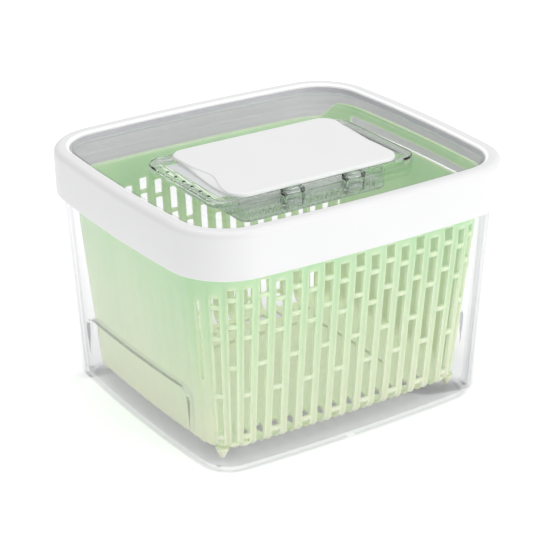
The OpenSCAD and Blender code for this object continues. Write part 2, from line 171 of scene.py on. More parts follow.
def rounding(r, degrees):
    """(inset, rise) on a rounded edge of radius r, from its upright side at 0 to its level side at 90."""
    a = math.radians(degrees)
    return (r * (1 - math.cos(a)), r * (1 - math.sin(a)))


def corner_points(cx, cy, r, start, count):
    return [polar(cx, cy, r, start + 90 * i / count) for i in range(count)]


def side_points(p, q, normal, bow, stops):
    """Points on a side from p towards q at the stops, 0 to 1 with the last left out, bowed along normal."""
    out = []
    for t in stops:
        lift = bow * (1 - (2 * t - 1) ** 2)
        out.append((p[0] + (q[0] - p[0]) * t + normal[0] * lift, p[1] + (q[1] - p[1]) * t + normal[1] * lift))
    return out


def even(count):
    return [i / count for i in range(count)]


def outline(w, d, r, bow=LID_BOW, arc=14, long_stops=None, short_stops=None, centre=(0.0, 0.0)):
    """Rounded rectangle w by d, anticlockwise from its right side's upper end, with bowed sides."""
    long_stops = long_stops or even(20)
    short_stops = short_stops or even(20)
    r = max(r, 0.5)
    cx = w / 2 - bow - r
    cy = d / 2 - bow - r
    points = corner_points(cx, cy, r, 0, arc)
    points += side_points((cx, cy + r), (-cx, cy + r), (0, 1), bow, long_stops)
    points += corner_points(-cx, cy, r, 90, arc)
    points += side_points((-cx - r, cy), (-cx - r, -cy), (-1, 0), bow, short_stops)
    points += corner_points(-cx, -cy, r, 180, arc)
    points += side_points((-cx, -cy - r), (cx, -cy - r), (0, -1), bow, long_stops)
    points += corner_points(cx, -cy, r, 270, arc)
    points += side_points((cx + r, -cy), (cx + r, cy), (1, 0), bow, short_stops)
    return [(x + centre[0], y + centre[1]) for x, y in points]


def ring_outline(inset, **kw):
    return outline(LID_W - 2 * inset, LID_D - 2 * inset, LID_R - inset, **kw)


# ------------------------ mesh helpers


def new_object(name, verts, faces):
    mesh = bpy.data.meshes.new(name)
    mesh.from_pydata([(x * MM, y * MM, z * MM) for x, y, z in verts], [], faces)
    mesh.validate()
    obj = bpy.data.objects.new(name, mesh)
    scene.collection.objects.link(obj)
    return obj


def outward(obj):
    """Points every face of a closed mesh outwards."""
    bm = bmesh.new()
    bm.from_mesh(obj.data)
    bmesh.ops.remove_doubles(bm, verts=bm.verts, dist=1e-6)
    bmesh.ops.recalc_face_normals(bm, faces=bm.faces)
    if bm.calc_volume(signed=True) < 0:
        bmesh.ops.reverse_faces(bm, faces=bm.faces)
    bm.to_mesh(obj.data)
    bm.free()
    return obj


def smooth(obj, angle=35):
    obj.data.shade_smooth()
    obj.data.set_sharp_from_angle(angle=math.radians(angle))
    return obj


def loft(name, rings, closed=False, capped=False, keep=None):
    """Joins rings of equal length, each a list of (x, y, z). closed joins the last ring to the first,
    capped fills the first and last, and only faces for which keep(ring, station) is true are made."""
    count = len(rings[0])
    verts = [p for ring in rings for p in ring]
    faces = []
    last = len(rings) if closed else len(rings) - 1
    for i in range(last):
        a = i * count
        b = (i + 1) % len(rings) * count
        for j in range(count):
            if keep and not keep(i, j):
                continue
            k = (j + 1) % count
            faces.append((a + j, a + k, b + k, b + j))
    if capped:
        faces.append(tuple(range(count - 1, -1, -1)))
        faces.append(tuple(range((len(rings) - 1) * count, len(rings) * count)))
    return new_object(name, verts, faces)


def at_height(points, z):
    return [(x, y, z) for x, y in points]


def add_modifier(obj, kind, **settings):
    mod = obj.modifiers.new(kind.title(), kind)
    for key, value in settings.items():
        setattr(mod, key, value)
    return mod


def apply_modifiers(obj):
    """Turns what the modifiers make into the object's own mesh."""
    graph = bpy.context.evaluated_depsgraph_get()
    graph.update()
    mesh = bpy.data.meshes.new_from_object(obj.evaluated_get(graph))
    old = obj.data
    obj.modifiers.clear()
    obj.data = mesh
    bpy.data.meshes.remove(old)
    return obj


def join(name, objects):
    """One object from several, in their order."""
    bm = bmesh.new()
    for obj in objects:
        bm.from_mesh(obj.data)
    mesh = bpy.data.meshes.new(name)
    bm.to_mesh(mesh)
    bm.free()
    for obj in objects:
        bpy.data.objects.remove(obj)
    out = bpy.data.objects.new(name, mesh)
    scene.collection.objects.link(out)
    return out


def cut(obj, cutters, operation="DIFFERENCE"):
    """Cuts each cutter out of obj, and removes the cutters."""
    tool = join(obj.name + "_tool", cutters)
    outward(tool)
    add_modifier(obj, "BOOLEAN", object=tool, operation=operation, solver="EXACT")
    apply_modifiers(obj)
    bpy.data.objects.remove(tool)
    return obj


def prism(name, points, z0, z1):
    return loft(name, [at_height(points, z0), at_height(points, z1)], capped=True)


def block(name, low, high):
    (x0, y0, z0), (x1, y1, z1) = low, high
    return prism(name, [(x0, y0), (x1, y0), (x1, y1), (x0, y1)], z0, z1)


def rod(name, centre, axis, length, r, sides=32, bore=0.0, round_end=0.25):
    """A round bar, or a tube if bore is given, with its ends rounded. axis is 0, 1 or 2."""
    half = length / 2
    inner = bore or 0.01
    profile = [(-half, inner), (-half, r - round_end), (-half + round_end, r), (half - round_end, r)]
    profile += [(half, r - round_end), (half, inner)]
    rings = []
    for along, radius in profile:
        ring = []
        for i in range(sides):
            a = 2 * math.pi * i / sides
            spot = [radius * math.cos(a), radius * math.sin(a)]
            spot.insert(axis, along)
            ring.append(tuple(spot[k] + centre[k] for k in range(3)))
        rings.append(ring)
    return loft(name, rings, closed=bool(bore), capped=not bore)


def soften(obj, width=0.3, segments=2, angle=40):
    """Rounds the edges of a mesh made of flat faces."""
    limit = math.radians(angle)
    add_modifier(obj, "BEVEL", width=width * MM, segments=segments, limit_method="ANGLE", angle_limit=limit)
    return apply_modifiers(obj)


# ------------------------ materials


def material(name, base, roughness, **settings):
    """A Principled material. settings are the shader's own sockets, with _ for a space."""
    mat = bpy.data.materials.new(name)
    mat.use_nodes = True
    tree = mat.node_tree
    shader = tree.nodes["Principled BSDF"]
    shader.inputs["Base Color"].default_value = (*base, 1)
    shader.inputs["Roughness"].default_value = roughness
    for key, value in settings.items():
        shader.inputs[key.replace("_", " ")].default_value = value
    return mat, tree, shader


def node(tree, kind, **values):
    """A shader node. Values named like an input set that input, and others set the node itself."""
    made = tree.nodes.new("ShaderNode" + kind)
    for key, value in values.items():
        label = key.replace("_", " ")
        if label in made.inputs:
            made.inputs[label].default_value = value
        else:
            setattr(made, key, value)
    return made


def noise(tree, scale, detail=3.0, stretch=(1, 1, 1), roughness=0.5):
    """Noise over the object's own metres. stretch above 1 makes it finer along that axis."""
    coords = node(tree, "TexCoord")
    mapping = node(tree, "Mapping")
    mapping.inputs["Scale"].default_value = stretch
    texture = node(tree, "TexNoise", Scale=scale, Detail=detail, Roughness=roughness)
    tree.links.new(coords.outputs["Object"], mapping.inputs["Vector"])
    tree.links.new(mapping.outputs["Vector"], texture.inputs["Vector"])
    return texture.outputs["Fac"]


def ramp(tree, value, stops):
    """A colour ramp over value. stops are (position, colour) pairs."""
    made = node(tree, "ValToRGB")
    cells = made.color_ramp.elements
    while len(cells) < len(stops):
        cells.new(0.5)
    for cell, (position, colour) in zip(cells, stops):
        cell.position = position
        cell.color = (*colour, 1) if len(colour) == 3 else colour
    tree.links.new(value, made.inputs["Fac"])
    return made.outputs["Color"]


def scaled(tree, value, low, high, from_low=0.0, from_high=1.0):
    made = node(tree, "MapRange")
    made.inputs["From Min"].default_value = from_low
    made.inputs["From Max"].default_value = from_high
    made.inputs["To Min"].default_value = low
    made.inputs["To Max"].default_value = high
    tree.links.new(value, made.inputs["Value"])
    return made.outputs["Result"]


def bump(tree, shader, height, strength, distance_mm):
    made = node(tree, "Bump", Strength=strength, Distance=distance_mm * MM)
    tree.links.new(height, made.inputs["Height"])
    previous = shader.inputs["Normal"].links
    if previous:
        tree.links.new(previous[0].from_socket, made.inputs["Normal"])
    tree.links.new(made.outputs["Normal"], shader.inputs["Normal"])


def uneven_gloss(tree, shader, scale, detail, low, high):
    tree.links.new(scaled(tree, noise(tree, scale, detail), low, high), shader.inputs["Roughness"])


def lets_light_through(tree, shader, colour, share=1.0):
    """Lamps and bounced light pass a share of the surface straight, so that what it encloses stays bright."""
    path = node(tree, "LightPath")
    either = node(tree, "Math", operation="MAXIMUM")
    tree.links.new(path.outputs["Is Shadow Ray"], either.inputs[0])
    tree.links.new(path.outputs["Is Diffuse Ray"], either.inputs[1])
    if share < 1:
        part = node(tree, "Math", operation="MULTIPLY")
        tree.links.new(either.outputs[0], part.inputs[0])
        part.inputs[1].default_value = share
        either = part
    straight = node(tree, "BsdfTransparent")
    straight.inputs["Color"].default_value = (*colour, 1)
    mix = node(tree, "MixShader")
    tree.links.new(either.outputs[0], mix.inputs[0])
    tree.links.new(shader.outputs[0], mix.inputs[1])
    tree.links.new(straight.outputs[0], mix.inputs[2])
    tree.links.new(mix.outputs[0], tree.nodes["Material Output"].inputs["Surface"])


CLEAR_TINT = (0.985, 0.986, 0.99)
CLEAR_EDGE = (0.50, 0.51, 0.52)


def clear_plastic(name, line=""):
    """Thin clear plastic under a gloss. What is behind it shows through, darker where the surface turns away,
    and along the line that the mesh attribute of that name marks, where a dark line is painted in as shade."""
    mat = bpy.data.materials.new(name)
    mat.use_nodes = True
    tree = mat.node_tree
    tree.nodes.remove(tree.nodes["Principled BSDF"])
    weight = node(tree, "LayerWeight", Blend=0.5)
    soft = [t * 0.5 + e * 0.5 for t, e in zip(CLEAR_TINT, CLEAR_EDGE)]
    nearly = [t * 0.985 for t in CLEAR_TINT]
    turned = weight.outputs["Facing"]
    # Painted shade: the attribute's mark darkens the see-through tint, as a surface turned away would.
    if line:
        step = node(tree, "Attribute", attribute_name=line)
        darker = node(tree, "Math", operation="MAXIMUM")
        tree.links.new(turned, darker.inputs[0])
        tree.links.new(step.outputs["Fac"], darker.inputs[1])
        turned = darker.outputs[0]
    through = ramp(tree, turned, [(0.0, CLEAR_TINT), (0.82, nearly), (0.94, soft), (1.0, CLEAR_EDGE)])
    straight = node(tree, "BsdfTransparent")
    tree.links.new(through, straight.inputs["Color"])
    shine = node(tree, "BsdfGlossy")
    shine.inputs["Color"].default_value = (0.9, 0.9, 0.9, 1)
    uneven_gloss(tree, shine, 60, 4, 0.02, 0.07)
    relief = node(tree, "Bump", Strength=0.02, Distance=MM)
    tree.links.new(noise(tree, 14, 1.0), relief.inputs["Height"])
    tree.links.new(relief.outputs["Normal"], shine.inputs["Normal"])
    grazing = node(tree, "Math", operation="POWER")
    tree.links.new(weight.outputs["Facing"], grazing.inputs[0])
    grazing.inputs[1].default_value = 5
    mix = node(tree, "MixShader")
    tree.links.new(scaled(tree, grazing.outputs[0], 0.035, 0.9), mix.inputs[0])
    tree.links.new(straight.outputs[0], mix.inputs[1])
    tree.links.new(shine.outputs[0], mix.inputs[2])
    lets_light_through(tree, mix, CLEAR_TINT)
    return mat


def bending_plastic():
    """Thick clear plastic that bends what is behind it."""
    base = (0.93, 0.95, 0.945)
    mat, tree, shader = material("housing_clear", base, 0.03, Transmission_Weight=1.0, IOR=1.4)
    uneven_gloss(tree, shader, 60, 4, 0.01, 0.05)
    bump(tree, shader, noise(tree, 40, 1.0), 0.02, 1.0)
    lets_light_through(tree, shader, (0.97, 0.97, 0.975))
    return mat


def white_plastic(name, base=(0.80, 0.80, 0.803), painted_glow=0.0):
    """Milky plastic. Faces that look towards the middle can be given painted light: an emission that stands
    in for the light they lack inside the lid, and the last argument sets its strength.
    """
    mat, tree, shader = material(name, base, 0.34, IOR=1.5)
    if painted_glow:
        # Painted light: emission on the faces whose normal points towards the middle, brightening the ring's
        # inside where the lid shades it.
        coords = node(tree, "TexCoord")
        flat = node(tree, "VectorMath", operation="MULTIPLY")
        tree.links.new(coords.outputs["Object"], flat.inputs[0])
        flat.inputs[1].default_value = (1, 1, 0)
        facing = node(tree, "VectorMath", operation="DOT_PRODUCT")
        geometry = node(tree, "NewGeometry")
        tree.links.new(flat.outputs[0], facing.inputs[0])
        tree.links.new(geometry.outputs["Normal"], facing.inputs[1])
        shader.inputs["Emission Color"].default_value = (1, 1, 1, 1)
        inward_painted_glow = scaled(tree, facing.outputs["Value"], painted_glow, 0.0, -0.06, -0.02)
        tree.links.new(inward_painted_glow, shader.inputs["Emission Strength"])
    uneven_gloss(tree, shader, 90, 5, 0.28, 0.42)
    tint = ramp(tree, noise(tree, 22, 3), [(0.3, [c * 0.985 for c in base]), (0.7, base)])
    tree.links.new(tint, shader.inputs["Base Color"])
    bump(tree, shader, noise(tree, 2600, 3), 0.05, 0.05)
    lets_light_through(tree, shader, (0.98, 0.98, 0.985), 0.85)
    return mat


def green_plastic():
    """Green, with painted light: lighter and creamier low down, and a painted highlight in cream along its
    sharp edges.
    """
    mat, tree, shader = material(
        "basket_green", (0.5, 0.71, 0.47), 0.38, IOR=1.5, Subsurface_Weight=0.35, Subsurface_Scale=0.004
    )
    shader.inputs["Subsurface Radius"].default_value = (1.0, 1.2, 0.5)
    greens = [(0.34, (0.43, 0.69, 0.38)), (0.5, (0.48, 0.72, 0.41)), (0.68, (0.54, 0.74, 0.45))]
    cloudy = ramp(tree, noise(tree, 26, 4, (1, 1, 0.35)), greens)
    # Painted highlight: sharp edges, where pointiness is high, are mixed towards pale cream, standing in for
    # the light that catches them.
    geometry = node(tree, "NewGeometry")
    edges = scaled(tree, geometry.outputs["Pointiness"], 0.0, 0.85, 0.5, 0.62)
    mix = node(tree, "Mix", data_type="RGBA")
    tree.links.new(edges, mix.inputs[0])
    # Painted light: towards the bottom the green turns lighter and creamier, standing in for light that comes
    # through the translucent plastic low down.
    coords = node(tree, "TexCoord")
    axes = node(tree, "SeparateXYZ")
    tree.links.new(coords.outputs["Object"], axes.inputs[0])
    low = scaled(tree, axes.outputs["Z"], 0.85, 0.0, 0.005, 0.125)
    painted_low_light = node(tree, "Mix", data_type="RGBA")
    tree.links.new(low, painted_low_light.inputs[0])
    tree.links.new(cloudy, painted_low_light.inputs[6])
    # The cream of the painted light low down.
    painted_low_light.inputs[7].default_value = (0.86, 0.88, 0.64, 1)
    tree.links.new(painted_low_light.outputs[2], mix.inputs[6])
    # The cream of the painted edge highlight.
    mix.inputs[7].default_value = (0.90, 0.93, 0.68, 1)
    tree.links.new(mix.outputs[2], shader.inputs["Base Color"])
    uneven_gloss(tree, shader, 70, 4, 0.3, 0.46)
    bump(tree, shader, noise(tree, 900, 3, (1, 1, 0.12)), 0.12, 0.12)
    bump(tree, shader, noise(tree, 55, 2), 0.1, 0.4)
    lets_light_through(tree, shader, (0.88, 0.98, 0.86), 0.85)
    return mat


def seal_rubber():
    # Painted light: a faint emission keeps the grey seal bright where the lid shades it.
    mat, tree, shader = material("seal_grey", (0.66, 0.65, 0.69), 0.5, Emission_Strength=0.1)
    shader.inputs["Emission Color"].default_value = (0.97, 0.96, 1, 1)
    uneven_gloss(tree, shader, 120, 4, 0.42, 0.6)
    tint = ramp(tree, noise(tree, 40, 2), [(0.3, (0.64, 0.63, 0.67)), (0.7, (0.69, 0.68, 0.72))])
    tree.links.new(tint, shader.inputs["Base Color"])
    bump(tree, shader, noise(tree, 1500, 2), 0.08, 0.05)
    lets_light_through(tree, shader, (0.97, 0.97, 0.98), 0.9)
    return mat


def frosted_plastic():
    mat, tree, shader = material("cage_frosted", (0.86, 0.93, 0.87), 0.22, Transmission_Weight=0.92, IOR=1.46)
    uneven_gloss(tree, shader, 200, 4, 0.14, 0.34)
    bump(tree, shader, noise(tree, 700, 3), 0.25, 0.12)
    lets_light_through(tree, shader, (0.8, 0.86, 0.81))
    return mat


def pouch_cloth():
    mat, tree, shader = material("pouch_nonwoven", (0.72, 0.76, 0.70), 0.9, Sheen_Weight=0.3)
    fibres = noise(tree, 420, 8, (1, 0.22, 1), 0.7)
    crossed = noise(tree, 420, 8, (0.22, 1, 1), 0.7)
    mix = node(tree, "Math", operation="MAXIMUM")
    tree.links.new(fibres, mix.inputs[0])
    tree.links.new(crossed, mix.inputs[1])
    tint = ramp(tree, mix.outputs[0], [(0.4, (0.60, 0.65, 0.58)), (0.7, (0.80, 0.83, 0.77))])
    tree.links.new(tint, shader.inputs["Base Color"])
    bump(tree, shader, mix.outputs[0], 0.6, 0.3)
    return mat


def carbon_black():
    mat, tree, shader = material("carbon_granules", (0.02, 0.02, 0.022), 0.55)
    tint = ramp(tree, noise(tree, 500, 4), [(0.3, (0.012, 0.012, 0.013)), (0.7, (0.05, 0.05, 0.055))])
    tree.links.new(tint, shader.inputs["Base Color"])
    uneven_gloss(tree, shader, 300, 3, 0.35, 0.8)
    bump(tree, shader, noise(tree, 1400, 5), 0.5, 0.2)
    return mat


def place(obj, mat, body, slot, *nodes):
    """Gives a finished piece its material and body, and hides the CAD nodes it stands for; slot is not used.
    """
    obj.data.materials.clear()
    obj.data.materials.append(mat)
    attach(obj, body)
    if nodes:
        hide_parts(*nodes)


# ------------------------ camera, floor and light

CAMERA_AZIMUTH = -33.95
CAMERA_ELEVATION = 24.59
CAMERA_DISTANCE = 1.2464
CAMERA_TARGET = Vector((0.02515, 0.03393, 0.05358))
CAMERA_LENS = 120.27


def make_camera():
    a = math.radians(CAMERA_AZIMUTH)
    e = math.radians(CAMERA_ELEVATION)
    back = Vector((math.sin(a) * math.cos(e), -math.cos(a) * math.cos(e), math.sin(e)))
    data = bpy.data.cameras.new("camera")
    data.lens = CAMERA_LENS
    data.sensor_width = 36
    data.clip_end = 50
    camera = bpy.data.objects.new("camera", data)
    camera.location = CAMERA_TARGET + back * CAMERA_DISTANCE
    camera.rotation_euler = (-back).to_track_quat("-Z", "Y").to_euler()
    scene.collection.objects.link(camera)
    scene.camera = camera


def make_floor():
    half = 3000
    corners = [(-half, -half, 0), (half, -half, 0), (half, half, 0), (-half, half, 0)]
    floor = new_object("floor", corners, [(0, 1, 2, 3)])
    mat, tree, shader = material("floor_white", (0.95, 0.95, 0.95), 0.7, Emission_Strength=0.28)
    shader.inputs["Emission Color"].default_value = (1, 1, 1, 1)
    tint = ramp(tree, noise(tree, 3, 2), [(0.3, (0.945, 0.945, 0.945)), (0.7, (0.955, 0.955, 0.955))])
    tree.links.new(tint, shader.inputs["Base Color"])
    shader.inputs["Specular IOR Level"].default_value = 0.1
    floor.data.materials.append(mat)


def area_light(name, place_m, aim_m, size, power):
    data = bpy.data.lights.new(name, "AREA")
    data.shape = "DISK"
    data.size = size
    data.energy = power
    light = bpy.data.objects.new(name, data)
    light.location = place_m
    light.rotation_euler = (Vector(aim_m) - Vector(place_m)).to_track_quat("-Z", "Y").to_euler()
    scene.collection.objects.link(light)


def make_light():
    world = bpy.data.worlds.new("world")
    world.use_nodes = True
    sky = world.node_tree.nodes["Background"]
    sky.inputs["Color"].default_value = (1, 1, 1, 1)
    sky.inputs["Strength"].default_value = 0.62
    scene.world = world
    area_light("key", (0.9, -1.6, 1.0), (0, 0, 0.08), 1.8, 14)
    area_light("top", (0.1, 0.2, 2.0), (0, 0, 0.1), 2.4, 17)
    scene.view_settings.view_transform = "Standard"


# ------------------------ bin


def bin_half(z):
    drop = BIN_TOP - z
    return (LID_W / 2 - BIN_INSET - BIN_SLOPE[0] * drop, LID_D / 2 - BIN_INSET - BIN_SLOPE[1] * drop)


def bin_corner(z):
    return BIN_BASE_R + (LID_R - BIN_INSET - BIN_BASE_R) * z / BIN_TOP


def ease(t):
    t = max(0.0, min(1.0, t))
    return t * t * (3 - 2 * t)


def grip_depth(y, z, soft=0.35):
    """Depth of the finger recess at y and z on a short wall: sharp at its top and sides, fading downwards."""
    if z > GRIP_TOP + 1 or z < GRIP_FOOT - 1:
        return 0.0
    slope = GRIP_DEPTH * max(0.0, (z - GRIP_FOOT) / (GRIP_TOP - GRIP_FOOT))
    px = abs(y) - (GRIP_HALF - GRIP_CORNER)
    pz = z - (GRIP_TOP - GRIP_CORNER)
    if px > 0 and pz > 0:
        gap = math.hypot(px, pz) - GRIP_CORNER
    else:
        gap = max(abs(y) - GRIP_HALF, z - GRIP_TOP)
    return slope * (1 - ease(0.5 + gap / soft / 2))


def on_short_wall(x, y):
    return abs(x) > abs(y) * 0.9 and abs(x) > 60


def grip_stops():
    """Places along a short wall, close together where the finger recess is."""
    side = GRIP_HALF + 1.2
    fine = 120
    ys = [STOPS_REACH - 0.0001]
    ys += [side - 2 * side * i / fine for i in range(fine + 1)]
    edge = [GRIP_HALF + d for d in SHOULDER]
    ys = sorted(set([round(v, 4) for v in ys + edge + [-v for v in edge]]), reverse=True)
    return [v for v in ys if abs(v) < STOPS_REACH]


def paint_step_line(obj, count):
    """Marks where the recess steps in, for a painted dark line, on the first count vertices: those of the
    outer face.
    """
    # Painted shade: this mark darkens the clear plastic along the recess step, standing in for the dark line
    # that refraction at the step makes.
    shade = obj.data.attributes.new("step", "FLOAT", "POINT")
    reach = 0.3
    for i, vert in enumerate(obj.data.vertices):
        x, y, z = (c / MM for c in vert.co)
        if on_short_wall(x, y) and BIN_FLOOR < z < BIN_TOP - RIM_LIP_H:
            across = abs(grip_depth(y + reach, z) - grip_depth(y - reach, z))
            up = abs(grip_depth(y, z + reach) - grip_depth(y, z - reach))
            shade.data[i].value = min((across + up) / 0.9, 1.0) if i < count else 0.0


def make_bin():
    base_stops = grip_stops()
    side = GRIP_HALF + 1.2

    def ring(z, inset):
        hx, hy = bin_half(z)
        hx -= inset
        hy -= inset
        r = max(bin_corner(z) - inset, 1.0)
        cy = hy - LID_BOW - r
        ys = [v * cy / (GRIP_HALF + 1.6) for v in base_stops] if cy < side else base_stops
        short = [(cy - y) / (2 * cy) for y in ys]
        return outline(2 * hx, 2 * hy, r, short_stops=sorted(short), long_stops=even(28), arc=16)

    def wall(z, inset, grip=True):
        out = []
        for x, y in ring(z, inset):
            depth = grip_depth(y, z) if grip and on_short_wall(x, y) else 0.0
            out.append((x - math.copysign(depth, x), y, z))
        return out

    levels = [BIN_EDGE + 2, GRIP_FOOT - 1]
    levels += [GRIP_FOOT + i for i in range(0, 26)]
    levels += [GRIP_TOP - GRIP_CORNER - 2 + 0.75 * i for i in range(0, 14)]
    levels += [GRIP_TOP + d for d in (*SHOULDER, 1.5)]
    levels = sorted(set(round(v, 3) for v in levels))
    levels += [60, 75, 90, 105, 120, 135]
    outer = [wall(z, inset, False) for z, inset in ((0.8, 30), (0.8, 9), (0.6, 7.4), (0.1, 6.8), (0, 6.2))]
    for a in (0, 15, 30, 45, 60, 75, 90):
        z, inset = rounding(BIN_EDGE, a)
        outer.append(wall(z, inset, False))
    outer += [wall(z, 0) for z in levels]
    lip_low = BIN_TOP - RIM_LIP_H
    outer += [wall(lip_low - 0.6, 0), wall(lip_low, 0.1)]
    outer += [wall(lip_low + 0.05, -RIM_LIP + 0.3), wall(lip_low + 0.4, -RIM_LIP)]
    outer += [wall(BIN_TOP - 0.5, -RIM_LIP), wall(BIN_TOP - 0.1, -RIM_LIP + 0.3)]
    outer.append(wall(BIN_TOP, -RIM_LIP + 0.9))
    thin = BIN_WALL - STEP_IN
    inner = [wall(BIN_TOP, thin - 0.4), wall(BIN_TOP - 0.3, thin), wall(STEP_Z + 0.5, thin)]
    inner += [wall(STEP_Z + 0.1, thin + 0.1), wall(STEP_Z - 0.3, BIN_WALL - 0.1)]
    inner.append(wall(STEP_Z - 0.8, BIN_WALL))
    inner += [wall(z, BIN_WALL) for z in reversed(levels) if z > BIN_FLOOR + BIN_EDGE]
    for a in (15, 30, 45, 60, 75, 90):
        inset, rise = rounding(BIN_EDGE, a)
        inner.append(wall(BIN_FLOOR + rise, BIN_WALL + inset, False))
    inner += [wall(BIN_FLOOR, 12, False), wall(BIN_FLOOR, 30, False)]
    obj = loft("bin", outer + inner, capped=True)
    outward(obj)
    studs = [dimple((sx * 94.5, sy * 78.8, BIN_FLOOR)) for sx in (-1, 1) for sy in (-1, 1)]
    obj = join("bin", [obj] + studs)
    smooth(obj, 50)
    # The recess step gets a painted dark line in the bin's clear plastic.
    paint_step_line(obj, len(outer) * len(outer[0]))
    place(obj, clear_plastic("bin_clear", line="step"), "bin", "clear_plastic", "container")


def dimple(spot, r=1.6, h=0.9):
    """A small rounded stud on the bin's floor."""
    rings = []
    for a in (0, 20, 40, 60, 80):
        across, up = polar(0, 0, 1, a)
        rings.append(at_height(circle(spot[0], spot[1], r * across, 16), spot[2] - 0.2 + h * up))
    return outward(loft("dimple", rings, capped=True))


# ------------------------ basket

LONG_COLUMNS = 13
SHORT_COLUMNS = 10
CORNER_COLUMNS = 5
STATION_SHARES = (0.0, 0.11, 0.22, 0.5, 0.78, 0.89)
SLOT_START = 13.0
SLOT_END = (124.0, 120.5)
BRIDGES = ((68.0, 96.0, 114.0), (18.5, 48.0, 88.0, 109.0))
BRIDGE_HALF = 1.3
PLAIN_FROM = 126.0
FADE_FROM = 112
FADE_RUN = 16
RIM_RISE_START = 17
RIM_RISE_RUN = 11


def basket_share(z):
    return (z - BASKET_FLOOR) / (BASKET_TOP - BASKET_FLOOR)


def basket_stations():
    """(region, column, share) round the basket, anticlockwise from the right side's upper end."""
    corner = ("corner", CORNER_COLUMNS)
    order = [corner, ("long", LONG_COLUMNS), corner, ("short", SHORT_COLUMNS)]
    out = []
    for turn in range(2):
        for region, columns in order:
            for column in range(columns):
                for share in STATION_SHARES:
                    out.append((region, column, columns, share))
    return out


def basket_ring(z, inset):
    s = max(0.0, basket_share(z))
    hx = BASKET_LOW_HALF[0] * (1 - s) + BASKET_TOP_HALF[0] * s - inset
    hy = BASKET_LOW_HALF[1] * (1 - s) + BASKET_TOP_HALF[1] * s - inset
    r = max(BASKET_R[0] * (1 - s) + BASKET_R[1] * s - inset, 2.5)
    cx = hx - BASKET_BOW - r
    cy = hy - BASKET_BOW - r

    def stops(columns):
        return [(c + t) / columns for c in range(columns) for t in STATION_SHARES]

    def arc(px, py, start):
        return [polar(px, py, r, start + 90 * t) for t in stops(CORNER_COLUMNS)]

    points = arc(cx, cy, 0)
    points += side_points((cx, cy + r), (-cx, cy + r), (0, 1), BASKET_BOW, stops(LONG_COLUMNS))
    points += arc(-cx, cy, 90)
    points += side_points((-cx - r, cy), (-cx - r, -cy), (-1, 0), BASKET_BOW, stops(SHORT_COLUMNS))
    points += arc(-cx, -cy, 180)
    points += side_points((-cx, -cy - r), (cx, -cy - r), (0, -1), BASKET_BOW, stops(LONG_COLUMNS))
    points += arc(cx, -cy, 270)
    points += side_points((cx + r, -cy), (cx + r, cy), (1, 0), BASKET_BOW, stops(SHORT_COLUMNS))
    return points


def rim_height(x):
    """Height of the rim above x: low along the long sides, rising to the end walls."""
    t = (abs(x) - BASKET_TOP_HALF[0] + RIM_RISE_START) / RIM_RISE_RUN
    return BASKET_TOP - RIM_DIP * (1 - ease(t))


def lobe(share, amount):
    """How far the wall bulges between two bars."""
    return amount * math.sin(math.pi * share)


def corner_step(run, column):
    """How far a corner column is from the long wall next to it: 0 is beside it."""
    return column if run % 4 == 2 else CORNER_COLUMNS - 1 - column


